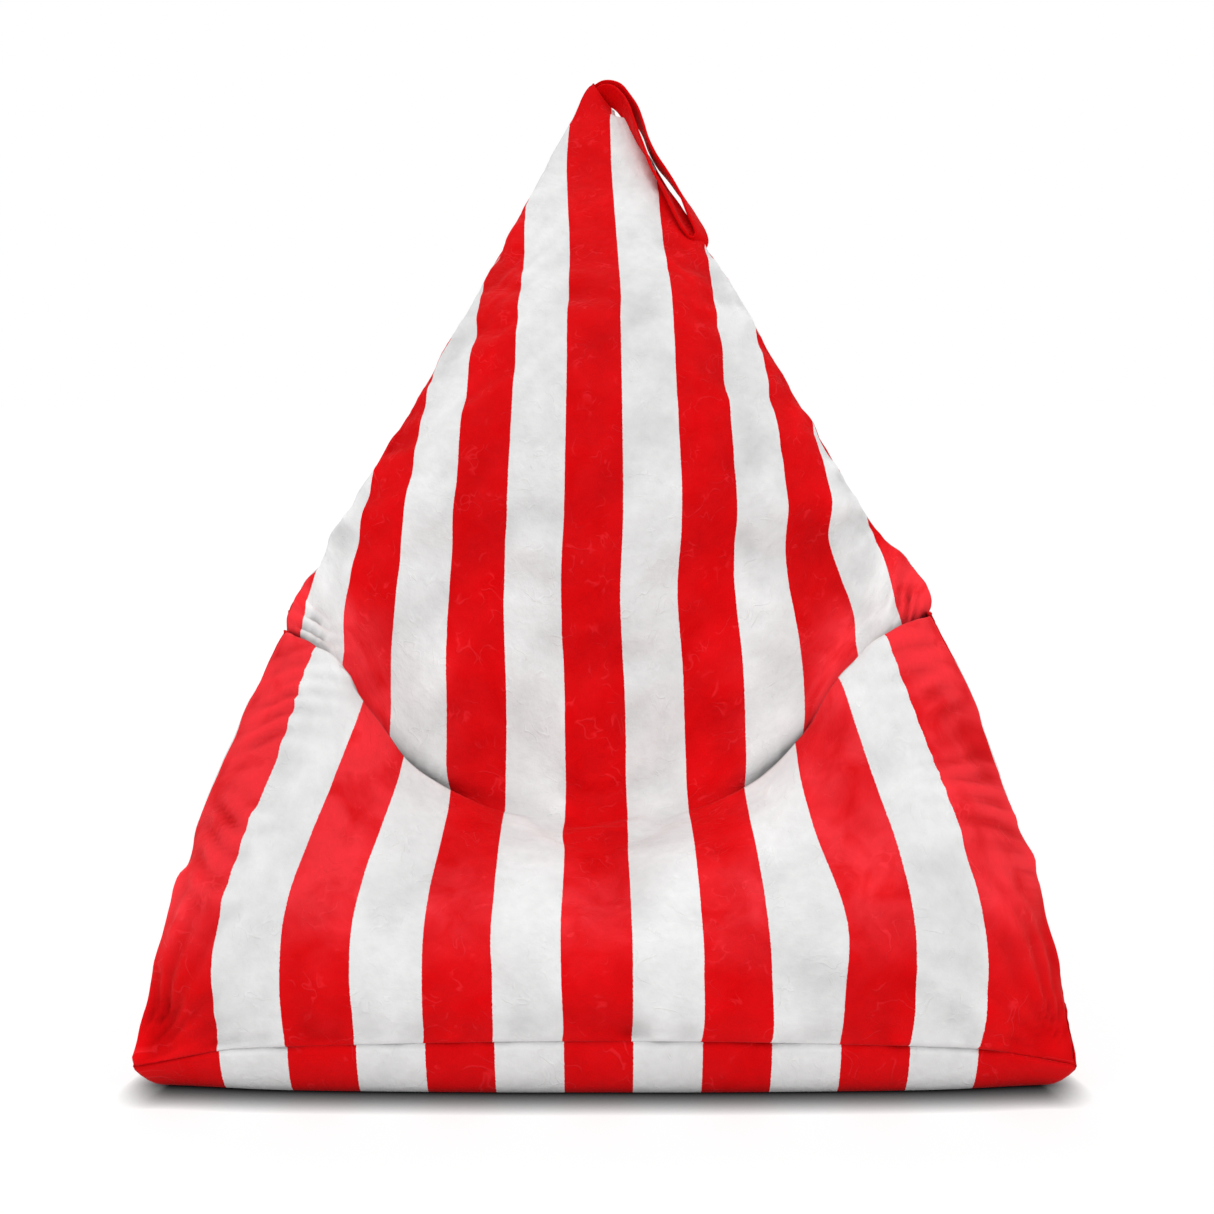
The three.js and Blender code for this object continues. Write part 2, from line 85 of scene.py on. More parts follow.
# Above the fold each row is an arc: centre (y, z), seam (x, y, z), seam's pattern line, half angle.
UPPER = [
    [(4.35, 6.8), (5.0, 6.3, 7.75), 5.4, 0.7],
    [(4.86, 8.33), (4.4, 6.75, 8.7), 4.85, 0.75],
    [(5.5, 9.85), (3.68, 7.2, 9.95), 4.1, 0.65],
    [(6.7, 11.5), (2.85, 8.0, 11.5), 3.25, 0.7],
    [(8.4, 13.07), (2.0, 9.2, 13.15), 2.25, 0.5],
    [(10.2, 14.7), (1.15, 10.65, 14.85), 1.25, 0.3],
    [(11.72, 16.57), (0.23, 11.8, 16.6), 0.36, 0.2],
]
PATTERN_LINES = [0, 1.5, 3.5, 4.5, 5.5]
SMOOTH_SIDE = [5, 10]  # between these rows the side panels don't follow the fold's notch
REAR_HEIGHTS = [0.6, 1.3, 2.1, 2.9, 3.8, 4.7, 5.7, 6.0, 6.35, 6.75, 7.2, 7.9, 9.0, 10.3, 11.8, 13.4, 15.0, 16.6]
REAR_FOOT = 14.45
REAR_LEAN = 0.06
REAR_ROUND = 1.45
BULGE_AT = [0.6, 1.3, 2.0, 2.8, 3.6, 4.5, 5.4, 6.3, 7.4, 8.8, 10.3, 12.1, 14.4, 16.6]
BULGE = [0.45, 0.9, 1.2, 1.35, 1.45, 1.5, 1.5, 1.45, 1.35, 1.15, 0.95, 0.7, 0.35, 0.03]
PATTERN_SHIFT_AT = [0.9, 3.3, 7.0, 12.0, 16.6]  # heights in stripes
PATTERN_SHIFT = [0.12, 0.16, 0.21, 0.25, 0.25]  # how far the print sits to -X of the middle
SOFT_HOLD = 0.05  # how firmly the open cloth keeps to the guide shape in the simulation
FOLD_HOLD = 0.8
FOLD_BAND = (5.6, 1.3)
SLIM_TOP = (12.0, 13.5)
SEAM_EASE = 0.02
SIDE_EASE = 0.12  # the back panels stay behind the front one at its seams
PRESSURE = 1.0
EXTRA_CLOTH = 0.025  # share by which the cloth is cut larger than the guide shape
SETTLE_FRAMES = 20
SETTLE_CAP = 0.012
SCALLOP = 0.0036  # how far the seams are drawn in between the beads' lumps
SCALLOP_SPACING = 0.036
PUSH_STEP = 0.003
LINER_ZIP_SINK = 0.004  # the liner lies this much deeper under its zip
PUSH_ROUNDS = 12  # how often the liner is smoothed and drawn inside the cover again
# where the cloth has crept under the seated folds: pattern line, height, reach in each, shift
PRINT_CREEP = [(5.5, 3.3, 0.9, 1.5, -0.15), (-4.5, 3.9, 0.6, 1.0, -0.13), (3.5, 2.6, 0.5, 0.7, -0.1)]
LAST_STRIPE = 6.45  # the end stripes run on to the seams
FOLD_TILT = 0.22
ARM_TILT = 0.035  # rise of the arms' folds per stripe towards +X
BASE_CENTRE = (0, 5.2)
CONTACT = 0.945  # share of the seam outline that rests on the floor
CORNER_LIFT = 0.012  # how much less of it rests there at the three corners
REAR_HALF = 0.2  # further back than this, near X = 0, is the rear seam
ZIP_STRIP = 0.020  # half width of the flat strip that the zip is sewn into
ZIP_SLOT = 0.0045  # half width of the slot between the folded edges
ZIP_SPAN = (1.9, 8.93)  # heights of the zip's slot, in stripes
ZIP_FOOT = 2.2  # height of the chain's lower end, in stripes
ZIP_LENGTH = 0.45


def to_row(points):
    """Points written in stripes, as points in the row frame."""
    return (np.asarray(points, float) - np.array([0, HALF_DEPTH, 0])) * STRIPE


def through(knots, values, at):
    """A smooth curve through values at knots, read at the places in at."""
    knots, values, at = (np.asarray(x, float) for x in (knots, values, at))
    step = np.diff(knots)
    tail = (1,) * (values.ndim - 1)
    slope = np.diff(values, axis=0) / step.reshape(-1, *tail)
    tangent = np.concatenate([slope[:1], np.zeros_like(values[2:]), slope[-1:]])
    before, after = (s.reshape(-1, *tail) for s in (step[:-1], step[1:]))
    tangent[1:-1] = (slope[:-1] * after + slope[1:] * before) / (before + after)
    i = np.clip(np.searchsorted(knots, at, side="right") - 1, 0, len(step) - 1)
    h = step[i].reshape(-1, *tail)
    t = ((at - knots[i]) / step[i]).reshape(-1, *tail)
    return (
        (2 * t**3 - 3 * t**2 + 1) * values[i]
        + (t**3 - 2 * t**2 + t) * h * tangent[i]
        + (3 * t**2 - 2 * t**3) * values[i + 1]
        + (t**3 - t**2) * h * tangent[i + 1]
    )


def smoothstep(x, low, high):
    t = np.clip((x - low) / (high - low), 0, 1)
    return t * t * (3 - 2 * t)


def bump(x, middle, reach):
    return np.exp(-(((x - middle) / reach) ** 2))


def lattice_noise(x, y, seed):
    """Smooth noise from -1 to 1 over a plane, with features about one unit across."""
    table = np.random.default_rng(seed).uniform(-1, 1, (256, 256))
    xi, yi = np.floor(x).astype(int), np.floor(y).astype(int)
    fx, fy = x - xi, y - yi
    fx, fy = (f * f * f * (f * (f * 6 - 15) + 10) for f in (fx, fy))
    xi, yi, xj, yj = xi % 256, yi % 256, (xi + 1) % 256, (yi + 1) % 256
    low_edge = table[xi, yi] * (1 - fx) + table[xj, yi] * fx
    high_edge = table[xi, yj] * (1 - fx) + table[xj, yj] * fx
    return low_edge * (1 - fy) + high_edge * fy


# ---- The skin's guide shape ----


def spaced(count):
    """Places from -1 to 1, even but for one close to each end."""
    inner = np.linspace(-1, 1, count)
    near = 1 - 2 * SEAM_REACH / 0.95
    return np.concatenate([[-1, -near], inner[1:-1], [near, 1]])


ACROSS = spaced(93)


def front_row(index):
    """Points across the front at one guide row, from -X to +X."""
    if index < len(FRONT):
        row = FRONT[index]
        kept = [i for i, p in enumerate(row[:6]) if p is not None]
        lines = (PATTERN_LINES + [row[6]])
        knots = np.array([lines[i] for i in kept])
        right = np.array([row[i] for i in kept], float)
        left = right[:0:-1] * [-1, 1, 1]
        values = np.concatenate([left, right])
        knots = np.concatenate([-knots[:0:-1], knots])
        return through(knots, values, ACROSS * row[6])
    (centre_y, centre_z), seam, _, angle = UPPER[index - len(FRONT)]
    x = seam[0] * np.sin(angle * ACROSS) / math.sin(angle)
    share = (1 - np.cos(angle * ACROSS)) / (1 - math.cos(angle))
    y = centre_y + (seam[1] - centre_y) * share
    z = centre_z + (seam[2] - centre_z) * share
    return np.stack([x, y, z], 1)


GUIDE_ROWS = len(FRONT) + len(UPPER)
SEAM_LINES = [row[6] for row in FRONT] + [row[2] for row in UPPER]


def row_knots(rows):
    """Knots up the guide rows, from how far apart they are on the whole."""
    gaps = np.linalg.norm(np.diff(rows, axis=0), axis=2).mean(1)
    return np.concatenate([[0], np.cumsum(gaps**0.75)])


def up_the_rows(knots, lengths):
    """Evenly spaced places up the rows, with a line of points close to the lower seam."""
    length = np.concatenate([[0], np.cumsum(lengths)]) * STRIPE
    count = int(length[-1] / GRID)
    at = np.concatenate([[0, SEAM_REACH], np.linspace(0, length[-1], count + 1)[1:]])
    return np.interp(at, length, knots)


def rear_points(heights):
    rise = np.clip((heights - 10.3) / (16.6 - 10.3), 0, None)
    foot = np.where(heights < 1.0, 0.2, 0.0)
    y = REAR_FOOT - REAR_LEAN * (heights - 1.3) - REAR_ROUND * rise**1.4 - foot
    return np.stack([0 * heights, y, heights], 1)


front_guides = np.array([front_row(i) for i in range(GUIDE_ROWS)])
KNOTS = row_knots(front_guides)
mean_gaps = np.linalg.norm(np.diff(front_guides, axis=0), axis=2).mean(1)
UP = up_the_rows(KNOTS, mean_gaps)
front = through(KNOTS, front_guides, UP)
seam_line = through(KNOTS, SEAM_LINES, UP)
row_height = through(KNOTS, front_guides[:, :, 2].mean(1), UP)

rear_guides = rear_points(np.array(REAR_HEIGHTS))
rear = through(KNOTS, rear_guides, UP)
side_guides = front_guides[:, -1]
low, high = SMOOTH_SIDE
kept_rows = [i for i in range(GUIDE_ROWS) if not low < i < high]
smooth_side = through(KNOTS[kept_rows], side_guides[kept_rows], UP)
bulge = np.interp(rear[:, 2], BULGE_AT, BULGE)


def back_panel():
    """Points from the +X side seam to the rear seam, row by row."""
    steps = spaced(87)[:, None] / 2 + 0.5
    rows = []
    for r, side in enumerate(smooth_side):
        strip = min(ZIP_STRIP / STRIPE, 0.45 * side[0])
        end = np.array([strip, rear[r, 1], rear[r, 2]])
        outward = np.array([end[1] - side[1], side[0] - end[0], 0])
        outward /= np.linalg.norm(outward)
        reach = np.linalg.norm(end - side)
        share = np.clip(steps * (reach + strip) / reach, 0, 1)
        points = side + (end - side) * share + outward * 4 * share * (1 - share) * bulge[r]
        past = np.clip(steps * (reach + strip) - reach, 0, None)
        points[:, 0:1] -= past
        notch = front[r, -1] - side
        points += notch * (1 - smoothstep(steps, 0, 0.16))
        rows.append(points)
    return np.array(rows)


right = back_panel()
left = right[:, ::-1] * [-1, 1, 1]


def slanted(points):
    """The +X arm sits higher, and the tip leans to -X with its top edge sloping down to +X."""
    x, z = points[:, :, 0].copy(), points[:, :, 2].copy()
    height = row_height[:, None]
    points[:, :, 2] += ARM_TILT * x * bump(height, 5.4, 2.0)
    # the folds run down to the seat more steeply on -X
    points[:, :, 2] += FOLD_TILT * np.sign(x) * bump(np.abs(x), 3.5, 0.75) * bump(height, 4.75, 0.7)
    lean = -0.15 * smoothstep(height, 12, 15.3) + 0.08 * smoothstep(height, 15.8, 16.6)
    in_front = 1 - smoothstep(points[:, :, 1], 8, 13)
    lean = lean - in_front * (0.06 * bump(height, 0.5, 0.4) + 0.07 * bump(height, 7.0, 0.9))
    points[:, :, 0] += lean
    near_top = smoothstep(z, 15.9, 16.6)
    points[:, :, 2] -= near_top * (0.165 + 1.24 * x)
    return points


front, right, left = (slanted(points) for points in (front, right, left))


def base_rows(outline):
    """Rings from the seam round the base down to the floor and in to the middle."""
    middle = np.array([*BASE_CENTRE, 0.0])
    rings = []
    corners = np.array([[-6.9, 0.2], [6.9, 0.2], [0, 14.25]])
    away = np.linalg.norm(outline[:, None, :2] - corners, axis=2).min(1)
    corner = bump(away, 0, 1.3)[:, None]
    contact = CONTACT - CORNER_LIFT * corner
    for angle in np.radians([8, 22, 38, 54, 70, 82, 90]):
        # round under the straight edges, and cut away in a straight line under the corners
        inward = (1 - corner) * math.cos(angle) + corner * (1 - math.sin(angle)) ** 0.5
        share = contact + (1 - contact) * inward
        ring = middle + (outline - middle) * share
        ring[:, 2] = outline[:, 2] * (1 - math.sin(angle))
        rings.append(ring)
    for share in np.linspace(1, 0.03, 36)[1:]:
        ring = middle + (outline - middle) * share * contact
        ring[:, 2] = 0
        rings.append(ring)
    return np.array(rings)


# ---- One closed skin: panel grids that share their seam points ----

rows_up = len(UP) + 1  # the last row closes the tip
front_columns = len(ACROSS)
back_columns = right.shape[1]
ring_of = np.concatenate([front[0], right[0, 1:], left[0, 1:-1]])
around = len(ring_of)
skin = np.concatenate([front, right[:, 1:], left[:, 1:-1]], 1)
closing = skin[-1:] * [1, 0.12, 1] + [0, 0.88 * skin[-1, :, 1].mean(), 0.03]
skin = np.concatenate([skin, closing])
# left runs from the rear seam to the -X side seam, so its last column is the front's first
base = base_rows(ring_of)
skin_points = to_row(np.concatenate([skin.reshape(-1, 3), base.reshape(-1, 3)]))
ring_index = np.arange(rows_up * around).reshape(rows_up, around)
base_index = np.arange(base.shape[0] * around).reshape(-1, around) + rows_up * around
closed = np.concatenate([ring_index, ring_index[:, :1]], 1)
GRIDS = {
    "front": closed[:, :front_columns],
    "right": closed[:, front_columns - 1 : front_columns + back_columns - 1],
    "left": closed[:, front_columns + back_columns - 2 :],
    "base": np.concatenate([ring_index[:1], base_index])[::-1],
}
GRIDS["base"] = np.concatenate([GRIDS["base"], GRIDS["base"][:, :1]], 1)


def quads(index):
    a, b = index[:-1, :-1], index[:-1, 1:]
    c, d = index[1:, 1:], index[1:, :-1]
    return np.stack([a, b, c, d], -1).reshape(-1, 4)


def mesh_object(name, points, faces):
    mesh = bpy.data.meshes.new(name)
    mesh.from_pydata(points.tolist(), [], [list(map(int, f)) for f in faces])
    mesh.update()
    obj = bpy.data.objects.new(name, mesh)
    bpy.context.scene.collection.objects.link(obj)
    return obj


# ---- Refine the panels ----

ARMS_SHEEN = (1.0, 0.75)  # painted sheen on the arm to -X and the one to +X
CREASE_SHADE = 0.012  # painted shade in the folds' creases, on the scale of the ridges' heights
CREASE_REACH = 0.009
CREASE_FROM = 5.6  # the guide row of the arms' tops
RELIEF_SHEEN = 160.0  # change of the painted sheen per metre of a ridge's height


def refined(points, values, times=2):
    """A grid of points and its values with times as many steps each way, on smooth curves."""
    grid = np.concatenate([points, values[:, :, None]], 2)
    for _ in range(2):
        gaps = np.linalg.norm(np.diff(grid[:, :, :3], axis=0), axis=2).mean(1)
        knots = np.concatenate([[0], np.cumsum(gaps)])
        places = np.linspace(0, len(knots) - 1, times * (len(knots) - 1) + 1)
        at = np.interp(places, np.arange(len(knots)), knots)
        grid = through(knots, grid, at).swapaxes(0, 1)
    return grid[:, :, :3], grid[:, :, 3]


def normals_of(points):
    du = np.gradient(points, axis=1)
    dv = np.gradient(points, axis=0)
    n = np.cross(du, dv)
    return n / np.maximum(np.linalg.norm(n, axis=2, keepdims=True), 1e-12)


PUCKERS = [  # depth, spacing along the seam, reach into the panel, seed
    (0.0034, 0.015, 0.022, 3),
    (0.0046, 0.027, 0.050, 4),
]
LUMPS = [(0.0026, 0.085, 11), (0.0013, 0.035, 12)]  # depth, size, seed
ARM_FOLDS = (0.0024, 0.0285, 0.06, 0.055)  # depth, spacing up the arm, distance in, reach
CORNER_FOLDS = (0.0042, 5.5, 0.13)  # depth, folds to a quarter turn, reach


def puckered(points, key, seed, edges, heights):
    """Small gathers that run in from the seams, and soft lumps from the beads."""
    across = arc_along(points, 1)
    up = arc_along(points, 0)
    moved = np.zeros(points.shape[:2])
    from_end = across[:, -1:] - across
    distances = {"first": (across, up[:, :1]), "last": (from_end, up[:, -1:]), "foot": (up, across[:1])}
    for number, edge in enumerate(edges):
        inward, along = distances[edge]
        along = along + 0 * inward
        for depth, spacing, reach, own in PUCKERS:
            skew = 0.25 * lattice_noise(along / 0.3, inward / 0.3, own + 50)
            place = along / spacing + skew * inward / spacing
            wave = lattice_noise(place, inward / (3 * reach), own + 7 * number + seed)
            if key != "front" and edge != "foot":
                wave = -np.abs(wave)
            strength = 0.65 + 0.5 * lattice_noise(along / 0.16, 0 * along, own + seed + 90)
            moved += depth * strength * wave * np.exp(-inward / reach) * smoothstep(inward, 0, 0.009)
    if key == "front":
        depth, spacing, far, reach = ARM_FOLDS
        arm = smoothstep(heights, 1.9, 3.2) * (1 - smoothstep(heights, 5.0, 5.9))
        for number, inward in enumerate((across, from_end)):
            own = 30 + number
            drift = 1.1 * lattice_noise(inward / 0.11, up / 0.12, own) + 3.5 * (inward - far)
            wave = np.sin(2 * math.pi * (up / spacing + drift) + number)
            wave *= 0.75 + 0.6 * lattice_noise(up / 0.05, inward / 0.07, own + 4)
            moved += depth * arm[:, None] * wave * bump(inward, far, reach) * smoothstep(inward, 0, 0.02)
            depth_c, folds, reach_c = CORNER_FOLDS
            turn = np.arctan2(up, inward) + 0.12 * lattice_noise(up / 0.06, inward / 0.06, own + 9)
            away = np.hypot(up, inward)
            corner = np.sin(4 * folds * turn + own) * (0.7 + 0.6 * lattice_noise(turn * 5, away / 0.08, own + 12))
            moved += depth_c * corner * np.exp(-away / reach_c) * smoothstep(away, 0.01, 0.06) * smoothstep(up, 0, 0.02)
    ease = smoothstep(np.minimum(np.minimum(across, from_end), up), 0, 0.03)
    for depth, size, own in LUMPS:
        moved += depth * ease * lattice_noise(across / size, up / size, own + seed)
    moved *= np.clip(across[:, -1:] / 0.35, 0, 1) ** 1.5
    return points + normals_of(points) * moved[:, :, None], moved


def painted_sheen(print_u, heights, moved):
    """Painted sheen: how much lighter and paler the red is drawn where light catches it, over the arms and the seat's
    edge, more on ridges.
    """
    low, high = ARMS_SHEEN
    side = np.where(print_u < 0, low, high)
    arms = side * (0.3 * smoothstep(np.abs(print_u), 1.9, 3.0) + 0.7 * smoothstep(np.abs(print_u), 2.6, 4.9))
    arms = arms * (smoothstep(heights, 1.7, 3.2) * (1 - smoothstep(heights, 5.5, 6.6)))[:, None]
    seat = 0.55 * (1 - smoothstep(np.abs(print_u), 3.0, 4.6)) * bump(heights, 2.95, 0.6)[:, None]
    return np.clip(arms + seat + moved * RELIEF_SHEEN * arms, 0, 1)


def crease_shade_mask(points, print_u, place):
    """The painted crease shade's mask: 1 where the back dives behind the arms' folds, fading out up the back."""
    heights = np.where(place[:, None] < CREASE_FROM, -1, points[:, :, 2])
    tucked = np.maximum.accumulate(heights, axis=0) > points[:, :, 2]
    steps = np.linalg.norm(np.diff(points, axis=0), axis=2)
    away = np.ones(print_u.shape)
    for row, step in enumerate(steps, 1):
        away[row] = np.where(tucked[row], 0, away[row - 1] + step)
    away = np.where(place[:, None] < CREASE_FROM, 1, away)
    return np.exp(-away / CREASE_REACH) * smoothstep(np.abs(print_u), 2.1, 3.1)


def with_zip_slot(points):
    """The rear edge of a back panel drawn aside to leave the zip's slot."""
    rear = (np.abs(points[:, :, 0]) < ZIP_STRIP) & (points[:, :, 1] > REAR_HALF)
    height = points[:, :, 2] / STRIPE
    open_here = smoothstep(height, ZIP_SPAN[0] - 0.1, ZIP_SPAN[0]) * (1 - smoothstep(height, ZIP_SPAN[1], ZIP_SPAN[1] + 0.1))
    aside = ZIP_SLOT * (1 - np.abs(points[:, :, 0]) / ZIP_STRIP) * open_here * rear
    side = np.sign(points[:, :, 0].sum())
    points = points.copy()
    points[:, :, 0] += side * aside
    return points


def merged(obj):
    """The same mesh with points that share a place made one, and no faces without area."""
    work = bmesh.new()
    work.from_mesh(obj.data)
    bmesh.ops.remove_doubles(work, verts=work.verts, dist=1e-6)
    work.to_mesh(obj.data)
    work.free()


def panel_object(name, points, print_u, sheen_share, relief_shade):
    """A sheet of cloth with its thread coordinates: print_u in stripes, and up the cloth."""
    rows, columns = points.shape[:2]
    index = np.arange(rows * columns).reshape(rows, columns)
    obj = mesh_object(name, points.reshape(-1, 3), quads(index))
    # the painted sheen share, and the painted light and shade of the ridges and creases, stored for the material
    for attribute, values in (("sheen_share", sheen_share), ("relief_shade", relief_shade)):
        store = obj.data.attributes.new(attribute, "FLOAT", "POINT")
        store.data.foreach_set("value", (values + 0 * print_u).astype(np.float32).reshape(-1))
    up = arc_along(points, 0).mean(1, keepdims=True) + 0 * print_u
    layer = obj.data.uv_layers.new(name="cloth")
    corner = np.array([l.vertex_index for l in obj.data.loops])
    uv = np.stack([print_u.reshape(-1)[corner] * STRIPE, up.reshape(-1)[corner]], 1)
    layer.data.foreach_set("uv", uv.astype(np.float32).reshape(-1))
    obj.data.polygons.foreach_set("use_smooth", [True] * len(obj.data.polygons))
    shell = obj.modifiers.new("cloth", "SOLIDIFY")
    shell.thickness = CLOTH
    shell.offset = -1
    return obj




def base_fill():
    """The last ring of the base, at its middle."""
    return base_index[-1]


def settled(points):
    """The skin after a cloth simulation under the beads' pressure, held at its seams."""
    skin_obj = mesh_object("settling_skin", points, skin_faces())
    weight = np.full(len(points), SOFT_HOLD)
    heights = points[ring_index][:, :, 2] / STRIPE
    slim = smoothstep(heights, *SLIM_TOP)
    weight[ring_index.reshape(-1)] = (SOFT_HOLD + (1 - SOFT_HOLD) * slim).reshape(-1)
    fold = bump(np.append(row_height, 16.6), *FOLD_BAND)[:, None]
    firm = fold * smoothstep(np.abs(ACROSS), 0.1, 0.3)
    front_weight = SOFT_HOLD + (FOLD_HOLD - SOFT_HOLD) * np.maximum(firm, slim[:, :front_columns])
    weight[GRIDS["front"].reshape(-1)] = front_weight.reshape(-1)
    weight[GRIDS["base"].reshape(-1)] = 1
    weight[(np.abs(points[:, 0]) < 1.3 * ZIP_STRIP) & (points[:, 1] > REAR_HALF)] = 1
    for name in ("front", "right", "left"):
        for edge in (GRIDS[name][:, 0], GRIDS[name][:, -1], GRIDS[name][0], GRIDS[name][-1]):
            weight[edge] = 1
    hold = skin_obj.vertex_groups.new(name="hold")
    steps = np.round(weight, 2)
    for value in np.unique(steps):
        hold.add(np.flatnonzero(steps == value).tolist(), float(value), "REPLACE")
    cloth = skin_obj.modifiers.new("settle", "CLOTH")
    rules = cloth.settings
    rules.quality = 4
    rules.mass = 0.2
    rules.tension_stiffness = 18
    rules.compression_stiffness = 18
    rules.shear_stiffness = 6
    rules.bending_stiffness = 0.02
    rules.use_pressure = True
    rules.uniform_pressure_force = PRESSURE
    rules.shrink_min = -EXTRA_CLOTH
    rules.vertex_group_mass = "hold"
    rules.pin_stiffness = 1
    rules.effector_weights.gravity = 0
    cloth.collision_settings.use_collision = False
    scene = bpy.context.scene
    for frame_number in range(1, SETTLE_FRAMES + 1):
        scene.frame_set(frame_number)
    shown = skin_obj.evaluated_get(bpy.context.evaluated_depsgraph_get()).data
    moved = np.zeros(len(points) * 3, np.float32)
    shown.vertices.foreach_get("co", moved)
    scene.frame_set(1)
    bpy.data.objects.remove(skin_obj)
    step = moved.reshape(-1, 3) - points
    reach = np.linalg.norm(step, axis=1, keepdims=True)
    step *= np.minimum(1, SETTLE_CAP / np.maximum(reach, 1e-9))
    for name in ("front", "right", "left"):
        grid = step[GRIDS[name]]
        grid *= eased_edges(points[GRIDS[name]], SEAM_EASE if name == "front" else SIDE_EASE)[:, :, None]
        for _ in range(2):
            grid[1:-1] = (grid[:-2] + 2 * grid[1:-1] + grid[2:]) / 4
            grid[:, 1:-1] = (grid[:, :-2] + 2 * grid[:, 1:-1] + grid[:, 2:]) / 4
        step[GRIDS[name]] = grid
    return points + step


def eased_edges(points, reach):
    """0 at a panel's seams and 1 from the reach inwards."""
    across = arc_along(points, 1)
    near = np.minimum(across, across[:, -1:] - across)
    return smoothstep(near, 0, reach) * smoothstep(arc_along(points, 0), 0, SEAM_EASE)


def arc_along(points, axis):
    """Distance along the grid's rows or columns, in metres."""
    step = np.linalg.norm(np.diff(points, axis=axis), axis=2)
    total = np.cumsum(step, axis=axis)
    pad = [(0, 0), (0, 0)]
    pad[axis] = (1, 0)
    return np.pad(total, pad)


def skin_faces():
    return np.concatenate([quads(GRIDS[name]) for name in GRIDS])


skin_now = skin_points.copy()
skin_now = settled(skin_now)


row_height_closed = np.append(row_height, row_height[-1])


def sunk_seams(points):
    """The same points with every seam line drawn inwards, as stitching holds it."""
    probe = mesh_object("probe", points, skin_faces())
    normals = np.array([v.normal for v in probe.data.vertices])
    bpy.data.objects.remove(probe)
    seams = {i for name in ("front", "right", "left") for i in GRIDS[name][:-1, [0, -1]].flat}
    seams = np.array(sorted(seams | set(ring_index[0].tolist())))
    points = points.copy()
    sink = np.where(np.isin(seams, ring_index[0]), BASE_SEAM_SINK, SEAM_SINK)
    points[seams] -= normals[seams] * sink[:, None]
    steps = np.abs(np.arange(-4, 5))
    fading = np.exp(-np.clip(steps * GRID - GRID + SEAM_REACH, 0, None) / 0.02)
    for seed, column in enumerate((0, front_columns - 1, front_columns + back_columns - 2)):
        along = arc_along(points[ring_index], 0)[:, column]
        drawn = SCALLOP * (0.6 + lattice_noise(along / SCALLOP_SPACING, 0 * along, 70 + seed))
        drawn *= 1 - smoothstep(row_height_closed, 14.5, 16)
        drawn *= smoothstep(along, 0, 0.05)
        if column > front_columns:
            drawn *= smoothstep(row_height_closed, ZIP_SPAN[1], ZIP_SPAN[1] + 1)
        columns = (column + np.arange(-4, 5)) % around
        near = ring_index[:, columns]
        points[near] -= normals[near] * (drawn[:, None] * fading)[:, :, None]
    return points


skin_now = sunk_seams(skin_now)

def inner_copy(name, depth, top):
    """The whole skin moved inwards, closed under the base and at the tip."""
    obj = mesh_object(name, skin_now, skin_faces())
    work = bmesh.new()
    work.from_mesh(obj.data)
    bmesh.ops.holes_fill(work, edges=work.edges, sides=0)
    bmesh.ops.recalc_face_normals(work, faces=work.faces)
    outer = BVHTree.FromBMesh(work)
    for vert in work.verts:
        vert.co.z = min(vert.co.z, top)
    for vert in work.verts:
        vert.co -= vert.normal * depth
    for _ in range(PUSH_ROUNDS):
        bmesh.ops.smooth_vert(work, verts=work.verts, factor=0.3, use_axis_x=True, use_axis_y=True, use_axis_z=True)
        for vert in work.verts:
            nearest, normal, _, _ = outer.find_nearest(vert.co)
            lacking = depth - (nearest - vert.co).dot(normal)
            if lacking > 0:
                vert.co -= normal * min(lacking, PUSH_STEP)
        for vert in work.verts:
            if abs(vert.co.x) < ZIP_STRIP and vert.co.y > REAR_HALF:
                vert.co.y -= LINER_ZIP_SINK / PUSH_ROUNDS
    work.to_mesh(obj.data)
    work.free()
    obj.data.polygons.foreach_set("use_smooth", [True] * len(obj.data.polygons))
    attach(obj, "chair")
    return obj


liner = inner_copy("liner", 0.008, 1.08)
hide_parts("inner_liner")
beads = inner_copy("bead_heap", 0.013, 1.03)
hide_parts("bead_fill")


def grid_points(name):
    return skin_now[GRIDS[name]]


seam_line = np.append(seam_line, seam_line[-1])
row_height = row_height_closed
shift = np.interp(row_height, PATTERN_SHIFT_AT, PATTERN_SHIFT)
print_front = ACROSS[None] * seam_line[:, None] + shift[:, None]
for line, height, reach_u, reach_z, amount in PRINT_CREEP:
    print_front += amount * bump(print_front, line, reach_u) * bump(row_height, height, reach_z)[:, None]
print_front = np.clip(print_front, -LAST_STRIPE, LAST_STRIPE)
arc = arc_along(grid_points("right"), 1) / STRIPE
print_right = arc - arc[:, -1:] / 2
arc = arc_along(grid_points("left"), 1) / STRIPE
print_left = arc - arc[:, -1:] / 2
print_base = grid_points("base")[:, :, 0] / STRIPE + PATTERN_SHIFT[0]
print_base = np.clip(print_base, -LAST_STRIPE, LAST_STRIPE)

